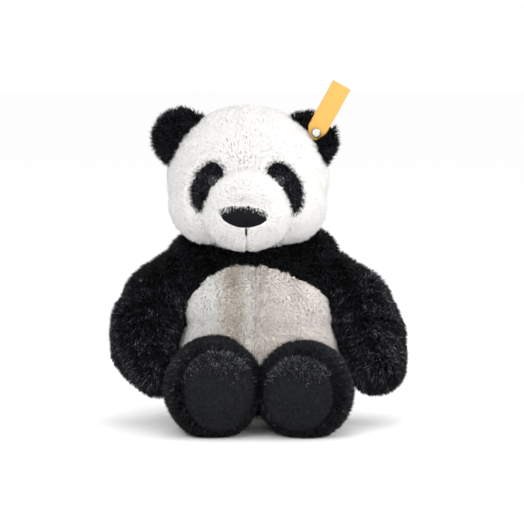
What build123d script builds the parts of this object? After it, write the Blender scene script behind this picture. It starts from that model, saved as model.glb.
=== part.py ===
"""Seated plush panda: a stuffed torso, a head on a soft neck, two arms, two legs and a ribbon ear tag.

Millimetres, +Z up. The toy sits on Z = 0 and faces -Y, so its own left side is at +X.
The origin is on the floor, in the middle of the toy's footprint.
Every pile fabric panel is a shell SKIN thick, sewn edge to edge round a core of stuffing.
"""

from build123d import *
from math import cos, radians, sin, sqrt
import os

os.makedirs("parts", exist_ok=True)

# Driving dimensions
SKIN = 3.0  # pile fabric: knitted backing and the pile pressed over it
SEAM = 0.05  # opening between panels that meet at a seam
JOINT_GAP = 0.35  # opening between pieces that move on each other
REACH = 400.0  # longer than the toy, for cutting blocks

TORSO_Y = 32.0  # torso axis, behind the middle of the footprint
TORSO_TOP = 140.0
SEAT_RADIUS = 47.0
TORSO_PROFILE = [(61.0, 14.0), (66.5, 46.0), (62.5, 85.0), (52.5, 115.0)]  # radius, height
TORSO_TOP_RADIUS = 38.0
BELLY_TOP = 124.0  # seam between the pale belly and the black yoke
BACK_YOKE_BOTTOM = 86.0  # seam between the black back yoke and the pale lower back
SEAT_SEAM = 13.0  # seam round the seat panel

NECK = (-5.0, 34.0, 125.0)  # centre of the neck ball
NECK_RADIUS = 34.0

HEAD = (-9.0, 20.0, 198.0)  # centre of the head
HEAD_HALF_WIDTH = 62.0
HEAD_RADIUS = 54.0
MUZZLE = (-9.5, -21.0, 173.0)
MUZZLE_HALF_WIDTH = 32.0
MUZZLE_RADIUS = 29.0
MUZZLE_SEAM_OUT = 3.5  # the muzzle's seam runs this far outside the muzzle's own form
GUSSET_HALF_WIDTH = 17.0
EAR_LINE_Y = 26.0  # seam between the face panels and the back of the head

EYE_SPACING = 54.0
EYE_HEIGHT = 202.0
EYE_RADIUS = 5.6
EYE_HEIGHT_OUT = 4.2
EYE_ROUNDING = 3.6
EYE_SHANK_RADIUS = 1.6
EYE_SHANK_LENGTH = 8.0
WASHER_RADIUS = 7.5
WASHER_THICKNESS = 1.6
WASHER_DEPTH = 0.8  # from the inside of the skin
PATCH_THICKNESS = 1.6
NOSE_WIDTH = 39.0
NOSE_HEIGHT = 18.0
NOSE_X = -11.5
NOSE_Z = 171.5
NOSE_ROUNDING = 2.5
NOSE_THICKNESS = 2.6
STITCH_LENGTH = 10.0
STITCH_WIDTH = 1.4

EAR_RADIUS = 22.0
EAR_HALF_THICKNESS = 6.5
EAR_OFFSET = (53.0, -8.0, 38.0)  # from the head's centre to the middle of an ear
EAR_ROUNDING = 5.0
EAR_TURN = 14.0  # degrees that an ear faces outwards

TAG_WIDTH = 16.0
TAG_LENGTH = 50.0
TAG_THICKNESS = 1.2
TAG_LEAN = 29.0  # degrees from upright
TAG_BELOW_RIVET = 6.0
RIVET_CAP_RADIUS = 3.9
RIVET_CAP_HEIGHT = 2.2
RIVET_SHANK_RADIUS = 1.2
RIVET_CLEARANCE = 0.1

SHOULDER = (58.0, 32.0, 129.0)  # where the arm's swing axis crosses the shoulder seam
SHOULDER_TILT = 14.0  # degrees that the shoulder seam leans in towards the head
SHOULDER_RADIUS = 19.0
ARM_TOP = (69.0, 31.0, 129.0)
ARM_PAW = (100.5, 0.0, 42.0)
ARM_TOP_RADIUS = 17.0
ARM_MIDDLE_RADIUS = 21.5
ARM_PAW_RADIUS = 18.5

LEG_X = 36.0
LEG_RADIUS = 34.5
HIP_Y = -8.0
SOLE_Y = -90.0
SOLE_ROUNDING = 12.0
SOLE_PAD_RADIUS = 28.0
SOLE_PAD_BULGE = 5.0
LEG_LIFT = 30.0  # degrees that a leg folds up towards the belly

TAIL = (0.0, 87.0, 22.0)
TAIL_RADIUS = 11.0


def save(piece, label):
    piece.part.label = label
    export_step(piece.part, f"parts/{label}.step")


def block(x=(-REACH, REACH), y=(-REACH, REACH), z=(-REACH, REACH)):
    """A cutting block between the given limits."""
    with BuildPart() as cutter:
        with BuildSketch(Plane.XY.offset(z[0])):
            with Locations(((x[0] + x[1]) / 2, (y[0] + y[1]) / 2)):
                Rectangle(x[1] - x[0], y[1] - y[0])
        extrude(amount=z[1] - z[0])
    return cutter.part


def ball(centre, radius):
    with BuildPart() as sphere:
        with Locations(centre):
            Sphere(radius)
    return sphere.part


def spheroid(centre, half_length, radius, direction=(1, 0, 0), across=(0, 1, 0)):
    """An ellipse turned about the axis through its centre in the given direction."""
    plane = Plane(origin=centre, x_dir=direction, z_dir=across)
    with BuildPart() as form:
        with BuildSketch(plane):
            Ellipse(half_length, radius)
            with Locations((0, -radius)):
                Rectangle(4 * half_length, 2 * radius, mode=Mode.SUBTRACT)
        revolve(axis=Axis(centre, direction))
    return form.part


def common(first, *others):
    with BuildPart() as shared:
        add(first)
        for other in others:
            add(other, mode=Mode.INTERSECT)
    return shared


def cut(first, *others):
    with BuildPart() as remainder:
        add(first)
        for other in others:
            add(other, mode=Mode.SUBTRACT)
    return remainder


def in_halves(form, x):
    """The same form as two halves joined at an upright plane, so that no face runs all the way round."""
    first = common(form, block(x=(-REACH, x))).part
    second = common(form, block(x=(x, REACH))).part
    with BuildPart() as joined:
        add(first)
        add(second, clean=False)
    return joined


# ---------------------------------------------------------------- whole forms, inset or grown


def torso_form(inset=0.0):
    """The pear-shaped torso, turned about its own upright axis."""
    with BuildPart() as form:
        with BuildSketch(Plane(origin=(0, TORSO_Y, 0), x_dir=(1, 0, 0), z_dir=(0, -1, 0))):
            with BuildLine():
                seat = (SEAT_RADIUS - inset, inset)
                top = (TORSO_TOP_RADIUS - inset, TORSO_TOP - inset)
                sides = [(r - inset, h) for r, h in TORSO_PROFILE]
                Polyline(top, (0, TORSO_TOP - inset), (0, inset), seat)
                Spline(seat, *sides, top)
            make_face()
        revolve(axis=Axis((0, TORSO_Y, 0), (0, 0, 1)))
    return form.part


def head_form(inset=0.0):
    """The head and its muzzle as one form, hollowed where the neck ball goes in."""
    head_spheroid = spheroid(HEAD, HEAD_HALF_WIDTH - inset, HEAD_RADIUS - inset)
    with BuildPart() as form:
        add(cut(head_spheroid, ball(NECK, NECK_RADIUS + JOINT_GAP)).part)
        add(spheroid(MUZZLE, MUZZLE_HALF_WIDTH - inset, MUZZLE_RADIUS - inset))
    return form.part


def leg_form(side, inset=0.0, front_inset=None):
    """A leg with a round hip and a flat sole, turned about its own length."""
    x = side * LEG_X
    radius = LEG_RADIUS - inset
    front = SOLE_Y + (inset if front_inset is None else front_inset)
    rounding = SOLE_ROUNDING - inset
    with BuildPart() as form:
        with BuildSketch(Plane(origin=(x, HIP_Y, LEG_RADIUS), x_dir=(0, -1, 0), z_dir=(1, 0, 0))):
            length = HIP_Y - front
            with BuildLine():
                CenterArc((0, 0), radius, 90, 90)
                Line((0, radius), (length - rounding, radius))
                CenterArc((length - rounding, radius - rounding), rounding, 0, 90)
                Polyline((length, radius - rounding), (length, 0), (-radius, 0))
            make_face()
        revolve(axis=Axis((x, HIP_Y, LEG_RADIUS), (0, -1, 0)))
    return form.part


def arm_form(inset=0.0):
    """The arm on the +X side: a long drop shape, flat where it meets the shoulder seam."""
    run = Vector(*ARM_PAW) - Vector(*ARM_TOP)
    plane = Plane(origin=ARM_TOP, x_dir=run, z_dir=run.cross(Vector(0, 1, 0)))
    top = ARM_TOP_RADIUS - inset
    middle = ARM_MIDDLE_RADIUS - inset
    paw = ARM_PAW_RADIUS - inset
    with BuildPart() as form:
        with BuildSketch(plane):
            with BuildLine():
                CenterArc((0, 0), top, 90, 90)
                ThreePointArc((0, top), (0.55 * run.length, middle), (run.length, paw))
                CenterArc((run.length, 0), paw, 0, 90)
                Line((run.length + paw, 0), (-top, 0))
            make_face()
        revolve(axis=Axis(ARM_TOP, run))
        add(shoulder_side(inset + JOINT_GAP / 2), mode=Mode.INTERSECT)
    return form.part


def shoulder_axis():
    tilt = radians(SHOULDER_TILT)
    return Vector(cos(tilt), 0, sin(tilt))


def shoulder_side(offset):
    """Everything on the outer side of the +X shoulder seam, offset outwards."""
    plane = Plane(origin=SHOULDER, z_dir=shoulder_axis()).offset(offset)
    with BuildPart() as side:
        with BuildSketch(plane):
            Rectangle(2 * REACH, 2 * REACH)
        extrude(amount=REACH)
    return side.part


def shoulder_stub(offset):
    """The round end of the +X shoulder, which the arm is sewn on."""
    depth = 40.0
    with BuildPart() as stub:
        with BuildSketch(Plane(origin=SHOULDER, z_dir=shoulder_axis()).offset(-offset)):
            Circle(SHOULDER_RADIUS - offset)
        extrude(amount=-depth)
    return stub.part


def leg_space():
    """The room that both legs sweep from rest on the floor to fully folded up."""
    radius = LEG_RADIUS + JOINT_GAP
    lift = radians(LEG_LIFT + 2)
    reach = 130.0
    tangent = (radius * sin(lift), radius * cos(lift))
    far = (tangent[0] - reach * cos(lift), tangent[1] + reach * sin(lift))
    half_width = LEG_X + LEG_RADIUS + 10
    with BuildPart() as space:
        plane = Plane(origin=(-half_width, HIP_Y, LEG_RADIUS), x_dir=(0, 1, 0), z_dir=(1, 0, 0))
        with BuildSketch(plane):
            Circle(radius)
            with BuildLine():
                Polyline((0, 0), tangent, far, (-reach, -radius), (0, -radius), close=True)
            make_face()
        extrude(amount=2 * half_width)
    return space.part


# ---------------------------------------------------------------- neck

neck_ball = ball(NECK, NECK_RADIUS)
neck_room = ball(NECK, NECK_RADIUS + JOINT_GAP)
with BuildPart() as neck_stuffing:
    add(neck_ball)
save(neck_stuffing, "neck_stuffing")

# ---------------------------------------------------------------- torso

right_stub = shoulder_stub(JOINT_GAP / 2)
left_stub = mirror(right_stub, about=Plane.YZ)
right_core = shoulder_stub(SKIN)
left_core = mirror(right_core, about=Plane.YZ)
swept = leg_space()

with BuildPart() as torso_outer:
    add(torso_form())
    add(right_stub)
    add(left_stub)
    add(neck_room, mode=Mode.SUBTRACT)
    add(swept, mode=Mode.SUBTRACT)

with BuildPart() as torso_inner:
    add(torso_form(SKIN))
    add(right_core)
    add(left_core)
    add(neck_room, mode=Mode.SUBTRACT)
    add(swept, mode=Mode.SUBTRACT)

save(in_halves(torso_inner.part, 0), "torso_stuffing")
torso_skin = cut(torso_outer.part, torso_inner.part).part

half_seam = SEAM / 2
front = (-REACH, TORSO_Y - half_seam)
back = (TORSO_Y + half_seam, REACH)
left = (half_seam, REACH)
right = (-REACH, -half_seam)
above_belly = (BELLY_TOP + half_seam, REACH)
belly = (SEAT_SEAM + half_seam, BELLY_TOP - half_seam)
above_yoke = (BACK_YOKE_BOTTOM + half_seam, REACH)
lower_back = (SEAT_SEAM + half_seam, BACK_YOKE_BOTTOM - half_seam)
torso_panels = {
    "seat_panel": block(z=(-REACH, SEAT_SEAM - half_seam)),
    "chest_yoke": block(y=front, z=above_belly),
    "belly_left": block(x=left, y=front, z=belly),
    "belly_right": block(x=right, y=front, z=belly),
    "back_yoke_left": block(x=left, y=back, z=above_yoke),
    "back_yoke_right": block(x=right, y=back, z=above_yoke),
    "lower_back_left": block(x=left, y=back, z=lower_back),
    "lower_back_right": block(x=right, y=back, z=lower_back),
}
for name, region in torso_panels.items():
    save(common(torso_skin, region), name)

save(cut(ball(TAIL, TAIL_RADIUS), torso_form()), "tail")

# ---------------------------------------------------------------- arms

arm_core = arm_form(SKIN)
arm_skin = cut(arm_form(), arm_core).part
arm_run = Vector(*ARM_PAW) - Vector(*ARM_TOP)
arm_seam = Plane(origin=ARM_TOP, x_dir=arm_run, z_dir=arm_run.cross(Vector(0, 1, 0)))
arm_halves = {"inner_panel": 1, "outer_panel": -1}


def half_space(plane, side):
    """Everything on one side of a plane."""
    with BuildPart() as half:
        with BuildSketch(plane.offset(side * half_seam)):
            Rectangle(2 * REACH, 2 * REACH)
        extrude(amount=side * REACH)
    return half.part


arm_pieces = {"stuffing": arm_core}
for name, side in arm_halves.items():
    arm_pieces[name] = common(arm_skin, half_space(arm_seam, side)).part
for name, piece in arm_pieces.items():
    with BuildPart() as left_piece:
        add(piece)
    save(left_piece, f"arm_left_{name}")
    with BuildPart() as right_piece:
        add(mirror(piece, about=Plane.YZ))
    save(right_piece, f"arm_right_{name}")

# ---------------------------------------------------------------- legs

for side, side_name in ((1, "left"), (-1, "right")):
    centre = (side * LEG_X, SOLE_Y, LEG_RADIUS)
    sole_plane = Plane(origin=centre, z_dir=(0, -1, 0))
    leg_core = leg_form(side, SKIN)
    with BuildPart() as pad_room:
        with BuildSketch(sole_plane.offset(-SKIN)):
            Circle(SOLE_PAD_RADIUS + half_seam)
        extrude(amount=2 * SKIN)
    with BuildPart() as leg_stuffing:
        add(leg_core)
    save(leg_stuffing, f"leg_{side_name}_stuffing")

    leg_skin = cut(leg_form(side), leg_core, pad_room.part).part
    upper = block(z=(LEG_RADIUS + half_seam, REACH))
    lower = block(z=(-REACH, LEG_RADIUS - half_seam))
    save(common(leg_skin, upper), f"leg_{side_name}_upper_panel")
    save(common(leg_skin, lower), f"leg_{side_name}_lower_panel")

    with BuildPart() as sole_pad:
        with BuildSketch(Plane(origin=centre, x_dir=(0, -1, 0), z_dir=(1, 0, 0))):
            with BuildLine():
                Polyline((0, SOLE_PAD_RADIUS), (-SKIN, SOLE_PAD_RADIUS), (-SKIN, 0), (SOLE_PAD_BULGE, 0))
                middle = (0.72 * SOLE_PAD_BULGE, 0.6 * SOLE_PAD_RADIUS)
                Spline((SOLE_PAD_BULGE, 0), middle, (0, SOLE_PAD_RADIUS))
            make_face()
        revolve(axis=Axis(centre, (0, -1, 0)))
    save(sole_pad, f"leg_{side_name}_sole_pad")

# ---------------------------------------------------------------- head

head_outer = head_form()
head_inner = head_form(SKIN)
head_ball = spheroid(HEAD, HEAD_HALF_WIDTH, HEAD_RADIUS)
head_x, head_y, head_z = HEAD


def head_normal(x, z):
    """The point of the head's form at x and z on the face, and the way it looks."""
    u = (x - head_x) / HEAD_HALF_WIDTH
    w = (z - head_z) / HEAD_RADIUS
    depth = HEAD_RADIUS * sqrt(1 - u * u - w * w)
    point = Vector(x, head_y - depth, z)
    slope = Vector(u / HEAD_HALF_WIDTH, -depth / HEAD_RADIUS**2, w / HEAD_RADIUS)
    return point, slope.normalized()


# Ears, their rivet and the ribbon tag


def ear_plane(side):
    """The middle of an ear, facing out of its front."""
    turn = radians(EAR_TURN)
    centre = (head_x + side * EAR_OFFSET[0], head_y + EAR_OFFSET[1], head_z + EAR_OFFSET[2])
    facing = (side * sin(turn), -cos(turn), 0)
    return Plane(origin=centre, x_dir=(cos(turn), side * sin(turn), 0), z_dir=facing)


def ear_half(side, facing):
    """The front (facing 1) or back (facing -1) half of an ear, cut where it meets the head."""
    plane = ear_plane(side)
    outwards = facing * plane.z_dir
    with BuildPart() as half:
        with BuildSketch(plane.offset(facing * half_seam)):
            Circle(EAR_RADIUS)
        extrude(amount=facing * (EAR_HALF_THICKNESS - half_seam))
        rim = half.faces().sort_by(Axis(plane.origin, outwards))[-1]
        fillet(rim.edges(), EAR_ROUNDING)
    return cut(half.part, head_ball).part


rivet_plane = ear_plane(1)
tag_back = EAR_HALF_THICKNESS + JOINT_GAP
tag_front = tag_back + TAG_THICKNESS
with BuildPart() as rivet_cap:
    with BuildSketch(rivet_plane.offset(-EAR_HALF_THICKNESS)):
        Circle(RIVET_SHANK_RADIUS)
    extrude(amount=EAR_HALF_THICKNESS + tag_front + JOINT_GAP)
    with BuildSketch(rivet_plane.offset(tag_front + JOINT_GAP)):
        Circle(RIVET_CAP_RADIUS)
    extrude(amount=RIVET_CAP_HEIGHT)
    fillet(rivet_cap.faces().sort_by(Axis(rivet_plane.origin, rivet_plane.z_dir))[-1].edges(), 1.8)
save(rivet_cap, "rivet_cap")

with BuildPart() as rivet_washer:
    with BuildSketch(rivet_plane.offset(-EAR_HALF_THICKNESS)):
        Circle(RIVET_CAP_RADIUS)
        Circle(RIVET_SHANK_RADIUS, mode=Mode.SUBTRACT)
    extrude(amount=-RIVET_CAP_HEIGHT / 2)
save(rivet_washer, "rivet_washer")

lean = radians(TAG_LEAN)
tag_run = rivet_plane.x_dir * sin(lean) + Vector(0, 0, cos(lean))
tag_plane = Plane(origin=rivet_plane.origin, x_dir=tag_run, z_dir=rivet_plane.z_dir)
with BuildPart() as ear_tag:
    with BuildSketch(tag_plane.offset(tag_back)):
        with Locations((TAG_LENGTH / 2 - TAG_BELOW_RIVET, 0)):
            Rectangle(TAG_LENGTH, TAG_WIDTH)
        Circle(RIVET_SHANK_RADIUS + RIVET_CLEARANCE, mode=Mode.SUBTRACT)
    extrude(amount=TAG_THICKNESS)
save(ear_tag, "ear_tag")

for face_name, facing in (("front", 1), ("back", -1)):
    save(cut(ear_half(1, facing), rivet_cap.part, rivet_washer.part), f"ear_left_{face_name}")
    with BuildPart() as right_half:
        add(ear_half(-1, facing))
    save(right_half, f"ear_right_{face_name}")

# Eyes: a domed head on a shank, held by a lock washer inside the skin
eye_rooms = []
for side, side_name in ((1, "left"), (-1, "right")):
    point, outwards = head_normal(head_x + side * EYE_SPACING / 2, EYE_HEIGHT)
    face = Plane(origin=point, z_dir=outwards)
    with BuildPart() as eye:
        with BuildSketch(face.offset(-EYE_SHANK_LENGTH)):
            Circle(EYE_SHANK_RADIUS)
        extrude(amount=EYE_SHANK_LENGTH + PATCH_THICKNESS)
        with BuildSketch(face.offset(PATCH_THICKNESS)):
            Circle(EYE_RADIUS)
        extrude(amount=EYE_HEIGHT_OUT)
        crown = eye.faces().sort_by(Axis(point, outwards))[-1]
        fillet(crown.edges(), EYE_ROUNDING)
    save(eye, f"eye_{side_name}")
    with BuildPart() as eye_washer:
        with BuildSketch(face.offset(-SKIN - WASHER_DEPTH)):
            Circle(WASHER_RADIUS)
            Circle(EYE_SHANK_RADIUS + SEAM, mode=Mode.SUBTRACT)
        extrude(amount=-WASHER_THICKNESS)
    save(eye_washer, f"eye_washer_{side_name}")
    with BuildPart() as eye_room:
        with BuildSketch(face.offset(-EYE_SHANK_LENGTH - SEAM)):
            Circle(EYE_SHANK_RADIUS + SEAM)
        extrude(amount=EYE_SHANK_LENGTH + EYE_HEIGHT_OUT)
        with BuildSketch(face.offset(-SKIN - WASHER_DEPTH + SEAM)):
            Circle(WASHER_RADIUS + SEAM)
        extrude(amount=-WASHER_THICKNESS - 2 * SEAM)
    eye_rooms.append(eye_room.part)

    with BuildPart() as patch_outline:
        outline_plane = Plane(origin=(point.X, -REACH / 2, point.Z), x_dir=(1, 0, 0), z_dir=(0, -1, 0))
        with BuildSketch(outline_plane):
            with Locations(Location((side * 4.0, -3.0), side * 32)):
                Ellipse(13.0, 18.5)
        extrude(amount=-REACH / 2)
    patch = common(head_form(-PATCH_THICKNESS), patch_outline.part).part
    save(cut(patch, head_outer, eye.part, block(y=(head_y - 30, REACH))), f"eye_patch_{side_name}")

# Nose pad and mouth stitch on the front of the muzzle
muzzle_x, muzzle_y, muzzle_z = MUZZLE
face_view = Plane(origin=(NOSE_X, muzzle_y, NOSE_Z), x_dir=(1, 0, 0), z_dir=(0, -1, 0))
with BuildPart() as nose_outline:
    with BuildSketch(face_view):
        with BuildLine():
            half = NOSE_WIDTH / 2
            Polyline((-half, 3), (-half + 6, NOSE_HEIGHT / 2), (half - 6, NOSE_HEIGHT / 2), (half, 3),
                     (4, -NOSE_HEIGHT / 2), (-4, -NOSE_HEIGHT / 2), close=True)
        face = make_face()
        fillet(face.vertices(), NOSE_ROUNDING)
    extrude(amount=REACH)
nose_form = common(head_form(-NOSE_THICKNESS), nose_outline.part).part
save(cut(nose_form, head_outer), "nose")

stitch_top = NOSE_Z - NOSE_HEIGHT / 2 - SEAM
stitch_block = block(
    x=(NOSE_X - STITCH_WIDTH / 2, NOSE_X + STITCH_WIDTH / 2),
    y=(-REACH, muzzle_y),
    z=(stitch_top - STITCH_LENGTH, stitch_top),
)
stitch_form = common(head_form(-STITCH_WIDTH / 2), stitch_block).part
save(cut(stitch_form, head_outer), "mouth_stitch")

# Stuffing and panels
head_core = spheroid(HEAD, HEAD_HALF_WIDTH - SKIN, HEAD_RADIUS - SKIN)
muzzle_core = spheroid(MUZZLE, MUZZLE_HALF_WIDTH - SKIN, MUZZLE_RADIUS - SKIN)
save(in_halves(cut(head_core, neck_room, *eye_rooms).part, head_x), "head_stuffing")
save(in_halves(cut(muzzle_core, head_core).part, muzzle_x), "muzzle_stuffing")

head_skin = cut(head_outer, head_inner, *eye_rooms).part
muzzle_zone = spheroid(MUZZLE, MUZZLE_HALF_WIDTH + MUZZLE_SEAM_OUT, MUZZLE_RADIUS + MUZZLE_SEAM_OUT)
muzzle_room = spheroid(
    MUZZLE, MUZZLE_HALF_WIDTH + MUZZLE_SEAM_OUT + SEAM, MUZZLE_RADIUS + MUZZLE_SEAM_OUT + SEAM
)
muzzle_skin = common(head_skin, muzzle_zone, block(y=(-REACH, muzzle_y))).part
face_skin = cut(head_skin, common(muzzle_room, block(y=(-REACH, muzzle_y + SEAM))).part).part

face_front = (-REACH, EAR_LINE_Y - half_seam)
head_back = (EAR_LINE_Y + half_seam, REACH)
head_left = (head_x + half_seam, REACH)
head_right = (-REACH, head_x - half_seam)
gusset_x = (head_x - GUSSET_HALF_WIDTH, head_x + GUSSET_HALF_WIDTH)
gusset_room_x = (gusset_x[0] - SEAM, gusset_x[1] + SEAM)
gusset = block(x=gusset_x, y=face_front, z=(head_z, REACH))
gusset_room = block(x=gusset_room_x, y=face_front, z=(head_z - SEAM, REACH))
chin_top = muzzle_z - half_seam
bridge_bottom = muzzle_z + half_seam

save(common(face_skin, gusset), "forehead_gusset")
cheeks = cut(face_skin, gusset_room).part
save(common(cheeks, block(x=head_left, y=face_front)), "cheek_left")
save(common(cheeks, block(x=head_right, y=face_front)), "cheek_right")
save(common(face_skin, block(x=head_left, y=head_back)), "head_back_left")
save(common(face_skin, block(x=head_right, y=head_back)), "head_back_right")
save(common(muzzle_skin, block(z=(bridge_bottom, REACH))), "muzzle_bridge")
save(common(muzzle_skin, block(x=head_left, z=(-REACH, chin_top))), "chin_left")
save(common(muzzle_skin, block(x=head_right, z=(-REACH, chin_top))), "chin_right")
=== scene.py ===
import math

import bmesh
import bpy
import numpy as np
from mathutils import Matrix, Vector
from mathutils.bvhtree import BVHTree


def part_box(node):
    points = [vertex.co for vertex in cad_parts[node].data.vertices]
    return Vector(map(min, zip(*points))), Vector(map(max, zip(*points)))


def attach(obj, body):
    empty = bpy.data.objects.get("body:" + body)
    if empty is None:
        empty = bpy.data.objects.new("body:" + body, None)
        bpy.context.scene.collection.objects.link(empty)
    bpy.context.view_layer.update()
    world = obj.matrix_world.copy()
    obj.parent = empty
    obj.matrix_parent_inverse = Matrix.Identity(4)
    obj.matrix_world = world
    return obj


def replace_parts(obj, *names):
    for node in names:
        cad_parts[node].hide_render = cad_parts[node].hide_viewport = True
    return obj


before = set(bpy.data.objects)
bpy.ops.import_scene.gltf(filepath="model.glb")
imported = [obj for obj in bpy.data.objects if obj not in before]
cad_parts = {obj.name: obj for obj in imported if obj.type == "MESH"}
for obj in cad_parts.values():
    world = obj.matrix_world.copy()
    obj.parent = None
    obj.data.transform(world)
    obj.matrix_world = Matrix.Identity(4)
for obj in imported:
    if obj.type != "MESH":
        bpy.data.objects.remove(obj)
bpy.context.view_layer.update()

MM = 0.001
rng = np.random.default_rng(11)

# ------------------------------------------------------------------ places, in millimetres
# Left is the toy's own left, at +x. The toy faces -y and sits on z = 0.
HEAD = (-9.0, 20.0, 198.0)
MUZZLE = (-9.5, -22.0, 172.0)
NECK = (-5, 34, 127)
EAR_SIDE = 52.0
EAR_RISE = 34.5
EAR_TURN = math.radians(14.0)
LEG_X = 36.0
LEG_Z = 36.0
SOLE_Y = -87.0
TORSO_Y = 32.0
BACK_YOKE_Z = 86.0
BELLY_MIDDLE = -3
# top edge of the pale belly, as seen from the front: across, up
BELLY_EDGE = [(-66, 40), (-64, 66), (-61, 88), (-54, 104), (-41, 118), (-18, 127), (2, 127), (17, 123),
              (33, 116), (46, 109), (56, 99), (62, 84), (66, 50)]


# ------------------------------------------------------------------ materials


def principled(name, colour, roughness, **sockets):
    """A plain material; sockets are the shader's own, with _ for a space."""
    material = bpy.data.materials.new(name)
    material.use_nodes = True
    shader = material.node_tree.nodes["Principled BSDF"]
    shader.inputs["Base Color"].default_value = (*colour, 1)
    shader.inputs["Roughness"].default_value = roughness
    for socket, value in sockets.items():
        shader.inputs[socket.replace("_", " ")].default_value = value
    return material


def noisy(name, dark, light, scale, roughness, bump=0.2, detail=6.0, **sockets):
    """Colour that wanders between two tones with noise, and a bump of the same grain."""
    material = principled(name, dark, roughness, **sockets)
    tree = material.node_tree
    shader = tree.nodes["Principled BSDF"]
    place = tree.nodes.new("ShaderNodeTexCoord")
    noise = tree.nodes.new("ShaderNodeTexNoise")
    noise.inputs["Scale"].default_value = scale
    noise.inputs["Detail"].default_value = detail
    ramp = tree.nodes.new("ShaderNodeValToRGB")
    ramp.color_ramp.elements[0].position = 0.35
    ramp.color_ramp.elements[0].color = (*dark, 1)
    ramp.color_ramp.elements[1].position = 0.68
    ramp.color_ramp.elements[1].color = (*light, 1)
    relief = tree.nodes.new("ShaderNodeBump")
    relief.inputs["Strength"].default_value = bump
    relief.inputs["Distance"].default_value = 0.0006
    tree.links.new(place.outputs["Object"], noise.inputs["Vector"])
    tree.links.new(noise.outputs["Fac"], ramp.inputs["Fac"])
    tree.links.new(ramp.outputs["Color"], shader.inputs["Base Color"])
    tree.links.new(noise.outputs["Fac"], relief.inputs["Height"])
    tree.links.new(relief.outputs["Normal"], shader.inputs["Normal"])
    return material


def woven(name, dark, light, pitch, roughness, bump=0.5, **sockets):
    """A plain weave: two crossed waves of yarn, with the colour between them."""
    material = principled(name, dark, roughness, **sockets)
    tree = material.node_tree
    shader = tree.nodes["Principled BSDF"]
    place = tree.nodes.new("ShaderNodeTexCoord")
    height = tree.nodes.new("ShaderNodeMath")
    height.operation = "MAXIMUM"
    for index, direction in enumerate(("X", "Z")):
        wave = tree.nodes.new("ShaderNodeTexWave")
        wave.bands_direction = direction
        wave.inputs["Scale"].default_value = 1.0 / pitch
        wave.inputs["Distortion"].default_value = 0.6
        tree.links.new(place.outputs["Object"], wave.inputs["Vector"])
        tree.links.new(wave.outputs["Fac"], height.inputs[index])
    ramp = tree.nodes.new("ShaderNodeValToRGB")
    ramp.color_ramp.elements[0].color = (*dark, 1)
    ramp.color_ramp.elements[1].color = (*light, 1)
    relief = tree.nodes.new("ShaderNodeBump")
    relief.inputs["Strength"].default_value = bump
    relief.inputs["Distance"].default_value = 0.0002
    tree.links.new(height.outputs["Value"], ramp.inputs["Fac"])
    tree.links.new(ramp.outputs["Color"], shader.inputs["Base Color"])
    tree.links.new(height.outputs["Value"], relief.inputs["Height"])
    tree.links.new(relief.outputs["Normal"], shader.inputs["Normal"])
    return material


def coat(name, slot, tones, roughness, gloss=0.3):
    """A coat of several tones, each (colour, share of the strands): its materials, shares and slot."""
    materials = [principled(f"{name}_{i}", colour, roughness, Specular_IOR_Level=gloss)
                 for i, (colour, share) in enumerate(tones)]
    shares = np.array([share for colour, share in tones])
    return materials, shares / shares.sum(), slot


BLACK = coat("black_pile", "black_plush", [
    ((0.0022, 0.0024, 0.0032), 6), ((0.005, 0.0053, 0.007), 4), ((0.014, 0.015, 0.019), 1.6),
    ((0.05, 0.053, 0.064), 0.35)], 0.5, gloss=0.16)
# Paler strands that stand in for black fur catching the light: painted highlight, laid on the arms, legs and
# eye patches.
PAINTED_GLINT = coat("painted_glint_pile", "black_plush", [
    ((0.012, 0.013, 0.016), 3), ((0.06, 0.064, 0.078), 2), ((0.22, 0.23, 0.27), 1.1)], 0.4, gloss=0.3)
SOLE = coat("sole_pile", "black_short_plush", [
    ((0.0075, 0.008, 0.0095), 5), ((0.013, 0.0135, 0.016), 4), ((0.026, 0.027, 0.032), 1.2)], 0.6, gloss=0.12)
# The top of each sole: its longer fuzz is real, and its paler strands are painted highlight where the light
# falls from above.
SOLE_TOP_PAINTED_GLINT = coat("sole_top_painted_glint_pile", "black_short_plush", [
    ((0.015, 0.016, 0.019), 4), ((0.06, 0.063, 0.072), 3), ((0.22, 0.23, 0.26), 1.6)], 0.4, gloss=0.25)
WHITE = coat("white_pile", "white_plush", [
    ((0.975, 0.965, 0.95), 7), ((0.955, 0.94, 0.92), 3), ((0.92, 0.90, 0.875), 1)], 0.8, gloss=0.15)
CREAM = coat("cream_pile", "cream_plush", [
    ((0.94, 0.91, 0.88), 4), ((0.90, 0.86, 0.82), 3), ((0.82, 0.77, 0.72), 1)], 0.7)
TAUPE = coat("taupe_pile", "cream_plush", [
    ((0.66, 0.58, 0.50), 3), ((0.54, 0.46, 0.39), 2), ((0.76, 0.70, 0.63), 2)], 0.7)
PINK = coat("pink_pile", "cream_plush", [
    ((0.95, 0.885, 0.855), 3), ((0.90, 0.83, 0.79), 2), ((0.97, 0.93, 0.91), 2)], 0.7)

black_backing = noisy("black_backing", (0.0015, 0.0015, 0.002), (0.005, 0.005, 0.006), 900, 0.9,
                      Specular_IOR_Level=0.05)
sole_backing = noisy("sole_backing", (0.007, 0.0075, 0.009), (0.018, 0.019, 0.022), 1400, 0.8, bump=0.5,
                     Specular_IOR_Level=0.1)
white_backing = noisy("white_backing", (0.86, 0.85, 0.83), (0.94, 0.93, 0.91), 900, 0.9)
cream_backing = noisy("cream_backing", (0.80, 0.755, 0.71), (0.90, 0.86, 0.82), 900, 0.9)
fibre = noisy("polyester_fibre", (0.82, 0.82, 0.82), (0.95, 0.95, 0.95), 300, 0.8, bump=0.8)
washer_plastic = noisy("washer_plastic", (0.78, 0.78, 0.75), (0.88, 0.88, 0.86), 200, 0.5)
rivet_metal = noisy("rivet_metal", (0.42, 0.41, 0.39), (0.58, 0.57, 0.54), 1500, 0.24, bump=0.05,
                    Metallic=1.0)
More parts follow.
